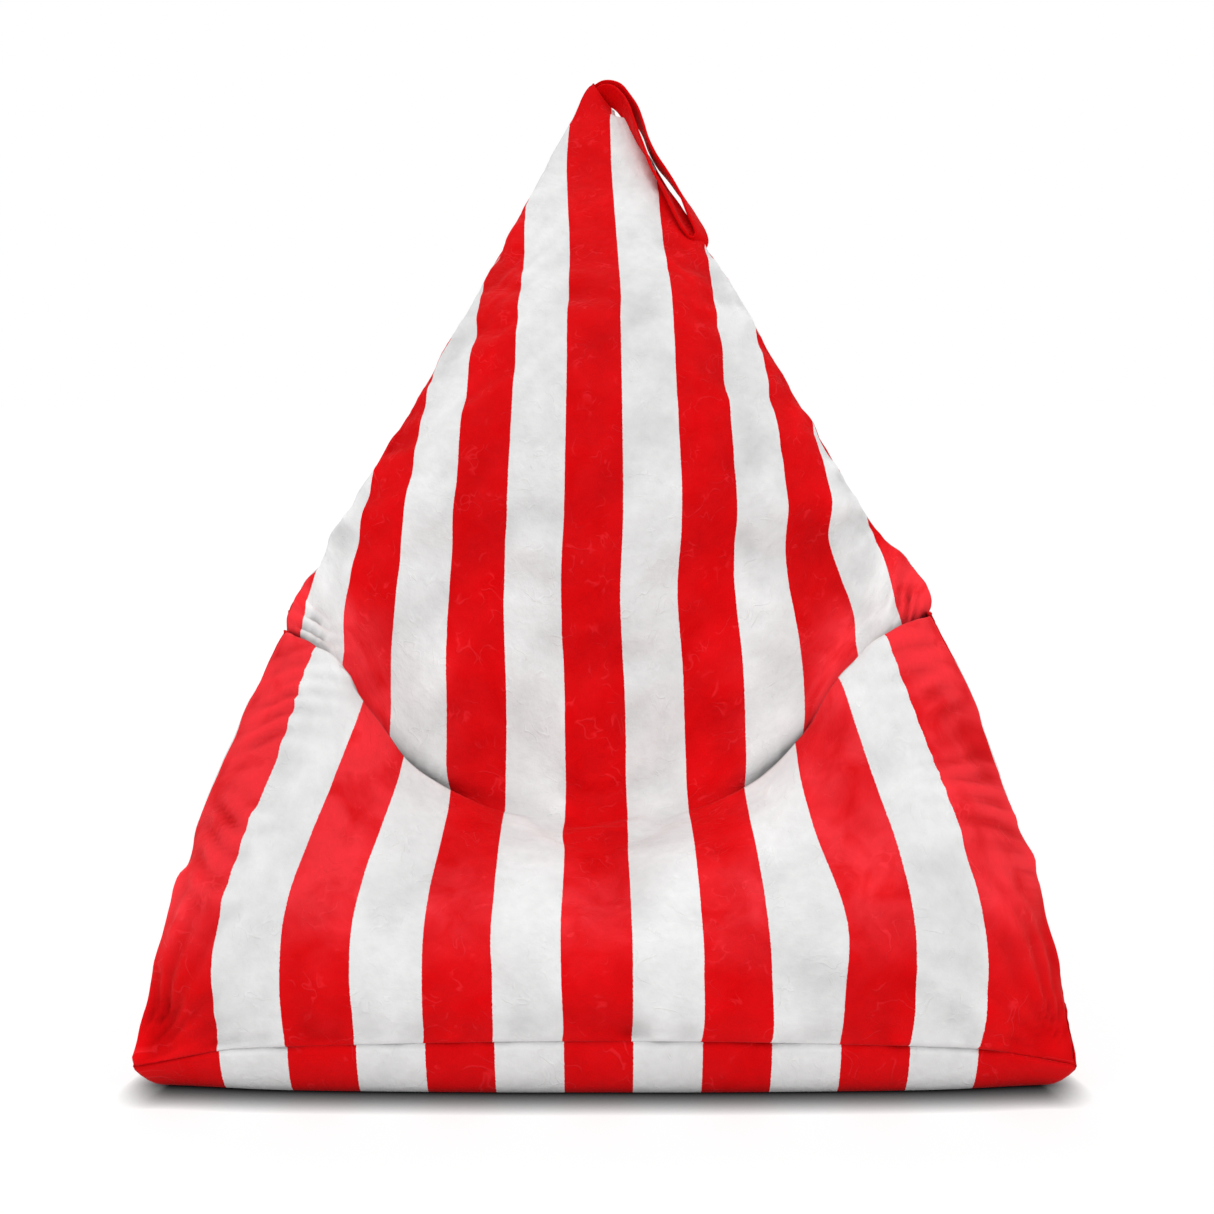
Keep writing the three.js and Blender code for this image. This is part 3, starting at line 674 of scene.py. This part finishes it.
guide_place = np.interp(UP, KNOTS, np.arange(GUIDE_ROWS))
guide_place = np.append(guide_place, guide_place[-1])
PUCKERED = {
    "front": (100, ("first", "last", "foot")),
    "right": (200, ("first", "foot")),
    "left": (300, ("last", "foot")),
}
PANELS = {}
for key, node, print_u in (
    ("front", "front_panel", print_front),
    ("right", "right_back_panel", print_right),
    ("left", "left_back_panel", print_left),
    ("base", "base_panel", print_base),
):
    fine, fine_u = grid_points(key), print_u
    sheen_share, moved = 0, 0
    if key != "base":
        fine, fine_u = refined(fine, fine_u)
        heights = np.interp(np.arange(len(fine)) / 2, np.arange(rows_up), row_height)
        fine, moved = puckered(fine, key, *PUCKERED[key], heights)
        fine = with_zip_slot(fine)
    else:
        centre = np.broadcast_to(fine[:1].mean(1, keepdims=True), fine[:1].shape)
        fine, fine_u = np.concatenate([centre, fine]), np.concatenate([fine_u[:1], fine_u])
    if key == "front":
        # painted sheen over the arms and the seat's edge
        sheen_share = painted_sheen(fine_u, heights, moved)
        place = np.interp(np.arange(len(fine)) / 2, np.arange(rows_up), guide_place)
        # painted shade: lowered where the back dives behind the arms' folds, so the colour darkens there
        moved = moved - CREASE_SHADE * crease_shade_mask(fine, fine_u, place)
    PANELS[key] = panel_object("cover_" + key, fine, fine_u, sheen_share, moved)
    if key == "base":
        merged(PANELS[key])
    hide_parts(node)
    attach(PANELS[key], "chair")

# ---- Carry strap ----

STRAP_WIDTH = 0.032
STRAP = 0.0042
# Stations along the loop: its near edge, and the way across it, in stripes.
STRAP_PATH = [
    ((-0.39, 11.93, 16.64), (0.28, 0.08, -0.36)),
    ((-0.27, 11.9, 16.74), (0.25, 0.1, -0.38)),
    ((-0.11, 11.83, 16.81), (0.15, 0.12, -0.42)),
    ((0.09, 11.73, 16.8), (0.05, 0.14, -0.44)),
    ((0.3, 11.58, 16.69), (0.0, 0.16, -0.43)),
    ((0.47, 11.4, 16.46), (-0.03, 0.2, -0.41)),
    ((0.63, 11.2, 16.18), (0.0, 0.26, -0.37)),
    ((0.74, 10.93, 15.83), (0.05, 0.34, -0.3)),
    ((0.84, 10.6, 15.42), (0.07, 0.37, -0.26)),
    ((1.0, 10.27, 15.02), (0.09, 0.38, -0.24)),
    ((1.19, 10.00, 14.68), (0.12, 0.38, -0.2)),
    ((1.36, 9.75, 14.36), (0.14, 0.38, -0.18)),
    ((1.49, 9.52, 14.06), (0.19, 0.37, -0.13)),
    ((1.61, 9.28, 13.69), (0.25, 0.36, -0.08)),
    ((1.72, 9.08, 13.42), (0.27, 0.36, -0.08)),
    ((1.75, 8.98, 13.27), (0.27, 0.35, -0.1)),
    ((1.7, 8.94, 13.2), (0.27, 0.35, -0.12)),
    ((1.62, 8.93, 13.21), (0.27, 0.35, -0.12)),
    ((1.54, 8.95, 13.29), (0.27, 0.35, -0.1)),
    ((1.46, 9.0, 13.42), (0.22, 0.38, -0.1)),
    ((1.3, 9.26, 13.78), (0.19, 0.38, -0.12)),
    ((1.1, 9.6, 14.26), (0.18, 0.38, -0.14)),
    ((0.86, 10.02, 14.8), (0.14, 0.38, -0.18)),
    ((0.75, 10.35, 15.19), (0.12, 0.37, -0.2)),
    ((0.65, 10.62, 15.52), (0.05, 0.35, -0.29)),
    ((0.55, 10.88, 15.86), (0.0, 0.27, -0.36)),
    ((0.47, 11.1, 16.14), (-0.03, 0.2, -0.41)),
    ((0.36, 11.32, 16.39), (0.0, 0.16, -0.43)),
    ((0.21, 11.52, 16.59), (0.03, 0.14, -0.44)),
    ((0.04, 11.66, 16.7), (0.1, 0.12, -0.43)),
    ((-0.13, 11.76, 16.71), (0.18, 0.1, -0.41)),
    ((-0.26, 11.83, 16.64), (0.25, 0.08, -0.38)),
    ((-0.37, 11.86, 16.54), (0.28, 0.06, -0.36)),
]


# The doubled strap goes on from the loop's foot down inside the tip.
TAILS_PATH = [
    ((-0.36, 11.9, 16.56), (0.28, 0.07, -0.36)),
    ((-0.36, 11.93, 16.35), (0.36, 0.04, -0.26)),
    ((-0.33, 11.9, 16.05), (0.43, 0.0, -0.12)),
    ((-0.28, 11.85, 15.7), (0.45, 0.0, -0.03)),
    ((-0.26, 11.8, 15.4), (0.45, 0.0, 0.0)),
]


def swept_strap(name, path, steps_each=5, half_gap=0.0):
    """A folded strap swept along its near edge, with rounded edges and closed ends."""
    near = to_row([p for p, _ in path])
    across = np.array([w for _, w in path], float)
    across /= np.linalg.norm(across, axis=1, keepdims=True)
    knots = np.concatenate([[0], np.cumsum(np.linalg.norm(np.diff(near, axis=0), axis=1) ** 0.5)])
    at = np.interp(np.linspace(0, len(near) - 1, steps_each * (len(near) - 1) + 1), np.arange(len(near)), knots)
    near, across = through(knots, near, at), through(knots, across, at)
    along = np.gradient(near, axis=0)
    along /= np.linalg.norm(along, axis=1, keepdims=True)
    across -= along * (across * along).sum(1, keepdims=True)
    across /= np.linalg.norm(across, axis=1, keepdims=True)
    face = np.cross(along, across)
    turn = np.linspace(math.pi / 2, 3 * math.pi / 2, 7)
    edge = np.stack([np.cos(turn), np.sin(turn)], 1) * STRAP / 2
    inner = np.linspace(0, STRAP_WIDTH - STRAP, 11)
    profile = [(x + STRAP / 2, STRAP / 2) for x in inner[::-1]]
    profile += [(x + STRAP / 2, y) for x, y in edge[1:-1]]
    profile += [(x + STRAP / 2, -STRAP / 2) for x in inner]
    profile += [(STRAP_WIDTH - STRAP / 2 - x, -y) for x, y in edge[1:-1]]
    profile = np.array(profile)
    # the stitched line presses a shallow groove a little in from each edge
    from_edge = np.minimum(profile[:, 0], STRAP_WIDTH - profile[:, 0])
    profile[:, 1] *= 1 - 0.22 * bump(from_edge, 0.0045, 0.0014)
    rings = near[:, None] + across[:, None] * profile[None, :, :1] + face[:, None] * profile[None, :, 1:]
    count, around_it = rings.shape[:2]
    index = np.arange(count * around_it).reshape(count, around_it)
    index = np.concatenate([index, index[:, :1]], 1)
    faces = quads(index[:, ::-1]).tolist()
    faces += [index[0, :-1].tolist(), index[-1, :-1][::-1].tolist()]
    obj = mesh_object(name, rings.reshape(-1, 3), faces)
    obj.data.polygons.foreach_set("use_smooth", [True] * (len(faces) - 2) + [False, False])
    layer = obj.data.uv_layers.new(name="cloth")
    length = np.concatenate([[0], np.cumsum(np.linalg.norm(np.diff(near, axis=0), axis=1))])
    for loop, out in zip(obj.data.loops, layer.data):
        row, column = divmod(loop.vertex_index, around_it)
        out.uv = (profile[column, 0], length[row])
    return obj, near, across, face


strap, strap_near, strap_across, strap_face = swept_strap("strap_loop", STRAP_PATH)
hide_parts("carry_handle")
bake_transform(strap)

tails, *_ = swept_strap("strap_tails", TAILS_PATH)
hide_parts("handle_tails")
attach(tails, "chair")

# ---- Zip ----


def zip_point(x, outward, up):
    """A place on the zip: across it, out from the cover's face and up from its lower end."""
    lean = math.atan(REAR_LEAN)
    foot = to_row([0, REAR_FOOT - REAR_LEAN * (ZIP_FOOT - 1.3), ZIP_FOOT])
    x, outward, up = np.broadcast_arrays(x, outward, up)
    y = outward * math.cos(lean) - up * math.sin(lean)
    z = outward * math.sin(lean) + up * math.cos(lean)
    return np.stack([x, y, z], -1) + foot


def rounded_block(size, bevel):
    """Points and faces of a block with rounded edges, about its middle."""
    work = bmesh.new()
    bmesh.ops.create_cube(work, size=1.0)
    for vert in work.verts:
        vert.co = Vector(c * s for c, s in zip(vert.co, size))
    bmesh.ops.bevel(work, geom=list(work.edges), offset=bevel, segments=2, profile=0.5, affect="EDGES")
    points = np.array([v.co for v in work.verts])
    faces = [[v.index for v in f.verts] for f in work.faces]
    work.free()
    return points, faces


def repeated(name, block, places, turns=None):
    """Copies of a block at places on the zip, as one object."""
    points, faces = block
    all_points, all_faces = [], []
    for number, (x, outward, up) in enumerate(places):
        turned = points if turns is None else points @ turns[number].T
        all_faces += [[i + number * len(points) for i in face] for face in faces]
        all_points.append(zip_point(turned[:, 0] + x, turned[:, 1] + outward, turned[:, 2] + up))
    obj = mesh_object(name, np.concatenate(all_points), all_faces)
    obj.data.polygons.foreach_set("use_smooth", [True] * len(all_faces))
    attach(obj, "chair")
    return obj


TAPE_TOP = -0.0024  # from the cover's face
TAPE = 0.0008
TAPE_WIDTH = 0.0142
TAPE_PAST = 0.008
TOOTH = (0.0034, 0.0022, 0.0012)
TOOTH_PITCH = 0.0019
TAPES = {}
for side, node in ((1, "zip_tape_right"), (-1, "zip_tape_left")):
    middle = side * (0.0018 + TAPE_WIDTH / 2)
    block = rounded_block((TAPE_WIDTH, TAPE, ZIP_LENGTH + 2 * TAPE_PAST), 0.0002)
    TAPES[node] = repeated(node.replace("zip", "cover_zip"), block, [(middle, TAPE_TOP - TAPE / 2, ZIP_LENGTH / 2)])
    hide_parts(node)
tooth_heights = np.arange(0.0045, ZIP_LENGTH - 0.0045, TOOTH_PITCH)
tooth_places = [
    ((-1) ** number * 0.0011, TAPE_TOP + 0.0003 + TOOTH[1] / 2, up) for number, up in enumerate(tooth_heights)
]
teeth = repeated("cover_zip_teeth", rounded_block(TOOTH, 0.0004), tooth_places)
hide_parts("zip_chain")

# Topstitching holds the folded edges beside the zip, and lies on the cloth as it is.
STITCH = (0.0006, 0.0005, 0.0026)
STITCH_PITCH = 0.0037
STITCH_LINES = (0.0075, 0.0165)  # from the middle of the zip
stitch_points, stitch_faces = rounded_block(STITCH, 0.00022)
sewn, sewn_faces = [], []
for panel, side in (("right", 1), ("left", -1)):
    mesh = PANELS[panel].data
    cloth = BVHTree.FromPolygons([v.co for v in mesh.vertices], [p.vertices for p in mesh.polygons])
    for line in STITCH_LINES:
        for up in np.arange(-0.012, ZIP_LENGTH + 0.012, STITCH_PITCH):
            over = zip_point(side * line, 0.01, up)
            place, normal, _, _ = cloth.find_nearest(Vector(over))
            along = Vector((0, -REAR_LEAN, 1)).normalized()
            across = normal.cross(along).normalized()
            turn = np.array([across, normal, along.cross(across).cross(across) * -1]).T
            sewn_faces += [[i + len(sewn) * len(stitch_points) for i in face] for face in stitch_faces]
            sewn.append(stitch_points @ turn.T + np.array(place))
stitches = mesh_object("zip_topstitching", np.concatenate(sewn), sewn_faces)
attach(stitches, "chair")

# ---- Materials ----


class Nodes:
    """A short way to write a material's nodes."""

    def __init__(self, name):
        self.material = bpy.data.materials.new(name)
        self.material.use_nodes = True
        self.tree = self.material.node_tree
        self.bsdf = self.tree.nodes["Principled BSDF"]

    def add(self, kind, inputs=None, **settings):
        node = self.tree.nodes.new(kind)
        for key, value in settings.items():
            setattr(node, key, value)
        for key, value in (inputs or {}).items():
            if isinstance(value, bpy.types.NodeSocket):
                self.tree.links.new(value, node.inputs[key])
            else:
                node.inputs[key].default_value = value
        return node

    def math(self, operation, *values):
        node = self.add("ShaderNodeMath", operation=operation)
        for i, value in enumerate(values):
            if isinstance(value, bpy.types.NodeSocket):
                self.tree.links.new(value, node.inputs[i])
            else:
                node.inputs[i].default_value = value
        return node.outputs[0]

    def mix(self, share, a, b):
        node = self.add("ShaderNodeMix", data_type="RGBA")
        for i, value in ((0, share), (6, a), (7, b)):
            if isinstance(value, bpy.types.NodeSocket):
                self.tree.links.new(value, node.inputs[i])
            else:
                node.inputs[i].default_value = value
        return node.outputs[2]

    def link(self, source, socket):
        self.tree.links.new(source, self.bsdf.inputs[socket])


RED = (0.69, 0.0012, 0.0025, 1)
# a lighter, paler red: painted sheen where light catches the arms and the seat's edge, also used for random lighter
# patches and crush marks
RED_SHEEN_AND_MOTTLE = (0.88, 0.032, 0.042, 1)
WHITE = (0.78, 0.78, 0.78, 1)
AO_SHADE_REACH = 0.032  # painted shade: how near other cloth has to be to darken it
AO_SHADE_POWER = 1.0


def velvet_look(n, where):
    """Mottling, fine fibres and thin curved crease marks: returns a shade to multiply by, and the marks."""
    broad = n.add("ShaderNodeTexNoise", {"Vector": where, "Scale": 17.0, "Detail": 3.0, "Roughness": 0.6})
    small = n.add("ShaderNodeTexNoise", {"Vector": where, "Scale": 75.0, "Detail": 3.0, "Roughness": 0.6})
    shade = n.math("MULTIPLY_ADD", n.math("SUBTRACT", broad.outputs[0], 0.5), 0.26, 1.0)
    shade = n.math("MULTIPLY_ADD", n.math("SUBTRACT", small.outputs[0], 0.5), 0.16, shade)
    # a mark runs where one noise crosses its middle, and only where a second is high
    line = n.add("ShaderNodeTexNoise", {"Vector": where, "Scale": 42.0, "Detail": 1.0, "Distortion": 0.8})
    off_line = n.math("ABSOLUTE", n.math("SUBTRACT", line.outputs[0], 0.5))
    mark = n.add("ShaderNodeMapRange", {0: off_line, 1: 0.0, 2: 0.035, 3: 1.0, 4: 0.0}, interpolation_type="SMOOTHSTEP")
    patch = n.add("ShaderNodeTexNoise", {"Vector": where, "Scale": 30.0, "Detail": 1.0})
    kept = n.add("ShaderNodeMapRange", {0: patch.outputs[0], 1: 0.5, 2: 0.62}, interpolation_type="SMOOTHSTEP")
    marks = n.math("MULTIPLY", mark.outputs[0], kept.outputs[0])
    fibre = n.add("ShaderNodeTexNoise", {"Vector": where, "Scale": 1400.0, "Detail": 3.0})
    height = n.math("MULTIPLY_ADD", small.outputs[0], 2.2, n.math("MULTIPLY_ADD", broad.outputs[0], 3.0, 0.0))
    height = n.math("MULTIPLY_ADD", marks, 0.65, height)
    height = n.math("MULTIPLY_ADD", fibre.outputs[0], 0.16, height)
    bump_node = n.add("ShaderNodeBump", {"Strength": 0.5, "Distance": 0.0016, "Height": height})
    n.link(bump_node.outputs[0], "Normal")
    n.bsdf.inputs["Roughness"].default_value = 0.6
    n.bsdf.inputs["Specular IOR Level"].default_value = 0.02
    n.bsdf.inputs["Sheen Weight"].default_value = 0.04
    n.bsdf.inputs["Sheen Roughness"].default_value = 0.35
    return n.math("MULTIPLY_ADD", marks, 0.04, shade), marks


def cover_material():
    n = Nodes("striped_velvet")
    uv = n.add("ShaderNodeUVMap", uv_map="cloth").outputs[0]
    place = n.add("ShaderNodeSeparateXYZ", {0: uv})
    stripes = n.math("DIVIDE", place.outputs[0], STRIPE)
    # the print's edge isn't quite straight
    fuzz = n.add("ShaderNodeTexNoise", {"Vector": uv, "Scale": 900.0, "Detail": 2.0})
    wobble = n.math("MULTIPLY", n.math("SUBTRACT", fuzz.outputs[0], 0.5), 0.03)
    shifted = n.math("ADD", n.math("ADD", stripes, 0.5), wobble)
    parity = n.math("FLOORED_MODULO", n.math("FLOOR", shifted), 2.0)
    sheen_share = n.add("ShaderNodeAttribute", attribute_name="sheen_share").outputs["Fac"]
    patches = n.add("ShaderNodeTexNoise", {"Vector": uv, "Scale": 22.0, "Detail": 3.0, "Distortion": 0.6})
    uneven = n.math("MULTIPLY_ADD", n.math("SUBTRACT", patches.outputs[0], 0.5), 3.2, 1.0)
    mottled, marks = velvet_look(n, uv)
    lifted = n.math("MULTIPLY", n.math("ADD", sheen_share, 0.07), uneven)
    sheen_and_mottle = n.add("ShaderNodeClamp", {0: n.math("MULTIPLY_ADD", marks, 0.3, lifted)}).outputs[0]
    # the red turns towards the lighter red by the painted sheen share, by random patches and by the crush marks
    colour = n.mix(parity, n.mix(sheen_and_mottle, RED, RED_SHEEN_AND_MOTTLE), WHITE)
    relief_shade = n.add("ShaderNodeAttribute", attribute_name="relief_shade").outputs["Fac"]
    # painted shade: the cloth's colour darkens in folds by ambient occlusion, deeper than the lights alone show
    painted_occlusion = n.add("ShaderNodeAmbientOcclusion", {"Distance": AO_SHADE_REACH}, samples=8, only_local=True)
    painted_fold_shade = n.math("POWER", painted_occlusion.outputs["AO"], AO_SHADE_POWER)
    # painted light and shade: higher ridges lighten the colour, troughs and the creases behind the arms' folds darken
    # it
    shade = n.math("MULTIPLY", painted_fold_shade, n.math("MULTIPLY_ADD", relief_shade, 38.0, mottled))
    shaded = n.add("ShaderNodeVectorMath", {0: colour, 1: shade}, operation="MULTIPLY")
    n.link(shaded.outputs[0], "Base Color")
    return n.material


def strap_material():
    n = Nodes("strap_velvet")
    uv = n.add("ShaderNodeUVMap", uv_map="cloth").outputs[0]
    shaded = n.add("ShaderNodeVectorMath", {0: RED[:3], 1: velvet_look(n, uv)[0]}, operation="MULTIPLY")
    n.link(shaded.outputs[0], "Base Color")
    return n.material


velvet = cover_material()
for obj in PANELS.values():
    obj.data.materials.append(velvet)


def plain_material(name, colour, roughness=0.6, metallic=0.0, scale=400.0):
    n = Nodes(name)
    where = n.add("ShaderNodeTexCoord").outputs["Object"]
    noise = n.add("ShaderNodeTexNoise", {"Vector": where, "Scale": scale, "Detail": 3.0})
    shade = n.math("MULTIPLY_ADD", n.math("SUBTRACT", noise.outputs[0], 0.5), 0.12, 1.0)
    tinted = n.add("ShaderNodeVectorMath", {0: colour[:3], 1: shade}, operation="MULTIPLY")
    n.link(tinted.outputs[0], "Base Color")
    n.bsdf.inputs["Roughness"].default_value = roughness
    n.bsdf.inputs["Metallic"].default_value = metallic
    return n.material


NODE_MATERIALS = {
    "zip_tape": plain_material("zip_tape_weave", (0.6, 0.01, 0.012, 1)),
    "strap_fabric": strap_material(),
    "liner_fabric": plain_material("liner_nonwoven", (0.8, 0.8, 0.78, 1)),
    "beads": plain_material("polystyrene_beads", (0.88, 0.88, 0.88, 1)),
    "zip_metal": plain_material("satin_nickel", (0.62, 0.62, 0.62, 1), 0.3, 1.0),
    "liner_zip": plain_material("white_nylon", (0.82, 0.82, 0.8, 1)),
    "cover_fabric": velvet,
}
strap.data.materials.append(NODE_MATERIALS["strap_fabric"])
tails.data.materials.append(NODE_MATERIALS["strap_fabric"])
for obj in (*TAPES.values(), teeth, stitches):
    obj.data.materials.append(NODE_MATERIALS["zip_tape"])
slot_of = {s["node"]: s["material_slot"] for s in frame["record"]["subparts"]}
liner.data.materials.append(NODE_MATERIALS["liner_fabric"])
beads.data.materials.append(NODE_MATERIALS["beads"])
for name, node in frame["nodes"].items():
    node.data.materials.clear()
    node.data.materials.append(NODE_MATERIALS[slot_of[name]])

# ---- Studio: floor, light and camera ----

floor = mesh_object(
    "studio_floor",
    np.array([[-40, -30, 0], [40, -30, 0], [40, 60, 0], [-40, 60, 0]], float),
    [[0, 1, 2, 3]],
)
floor_look = Nodes("studio_floor")
# the floor glows a little, so it stays white, and carries a painted contact shadow where the bag meets it
painted_occlusion = floor_look.add("ShaderNodeAmbientOcclusion", {"Distance": 0.034}, samples=16)
shade = floor_look.math("POWER", painted_occlusion.outputs["AO"], 2.6)
lit = floor_look.add("ShaderNodeVectorMath", {0: (0.36, 0.36, 0.36), 1: shade}, operation="MULTIPLY")
floor_look.link(lit.outputs[0], "Base Color")
floor_look.bsdf.inputs["Emission Color"].default_value = (1, 1, 1, 1)
floor_look.link(floor_look.math("MULTIPLY", shade, 0.66), "Emission Strength")
floor_look.bsdf.inputs["Roughness"].default_value = 0.9
floor_look.bsdf.inputs["Specular IOR Level"].default_value = 0.0
floor.data.materials.append(floor_look.material)

scene = bpy.context.scene
scene.view_settings.view_transform = "Standard"
scene.view_settings.look = "None"


LIGHTS = [  # name, energy, angle it fills, turn about X and about Z: from above, and from behind
    ("soft_front", 1.2, 40, 24, 0),
    ("soft_back", 0.5, 40, -48, 12),
    ("soft_left", 0.45, 30, 58, -72),
    ("soft_right", 0.45, 30, 58, 72),
]
for name, energy, fills, tilt, turn in LIGHTS:
    lamp = bpy.data.lights.new(name, "SUN")
    lamp.energy = energy
    lamp.angle = math.radians(fills)
    lamp_object = bpy.data.objects.new(name, lamp)
    lamp_object.rotation_euler = (math.radians(tilt), 0, math.radians(turn))
    scene.collection.objects.link(lamp_object)

SKY_LOW = 0.36
SKY_HIGH = 0.48
world = bpy.data.worlds.new("studio")
scene.world = world
world.use_nodes = True
sky = world.node_tree
background = sky.nodes["Background"]
background.inputs[0].default_value = (1, 1, 1, 1)
seen = sky.nodes.new("ShaderNodeLightPath").outputs["Is Camera Ray"]
direction = sky.nodes.new("ShaderNodeTexCoord").outputs["Generated"]
split = sky.nodes.new("ShaderNodeSeparateXYZ")
sky.links.new(direction, split.inputs[0])
height = sky.nodes.new("ShaderNodeMapRange")
sky.links.new(split.outputs[2], height.inputs["Value"])
height.inputs["From Min"].default_value = -0.1
height.inputs["From Max"].default_value = 1.0
height.inputs["To Min"].default_value = SKY_LOW
height.inputs["To Max"].default_value = SKY_HIGH
strength = sky.nodes.new("ShaderNodeMix")
sky.links.new(seen, strength.inputs[0])
sky.links.new(height.outputs[0], strength.inputs[2])
strength.inputs[3].default_value = 1.0
sky.links.new(strength.outputs[0], background.inputs[1])

camera = bpy.data.cameras.new("photo_view")
camera.sensor_width = 36
camera.lens = 36
eye = bpy.data.objects.new("photo_view", camera)
eye.location = (0, -1.630, 0.710)
eye.rotation_euler = (math.radians(80), 0, 0)
scene.collection.objects.link(eye)
scene.camera = eye
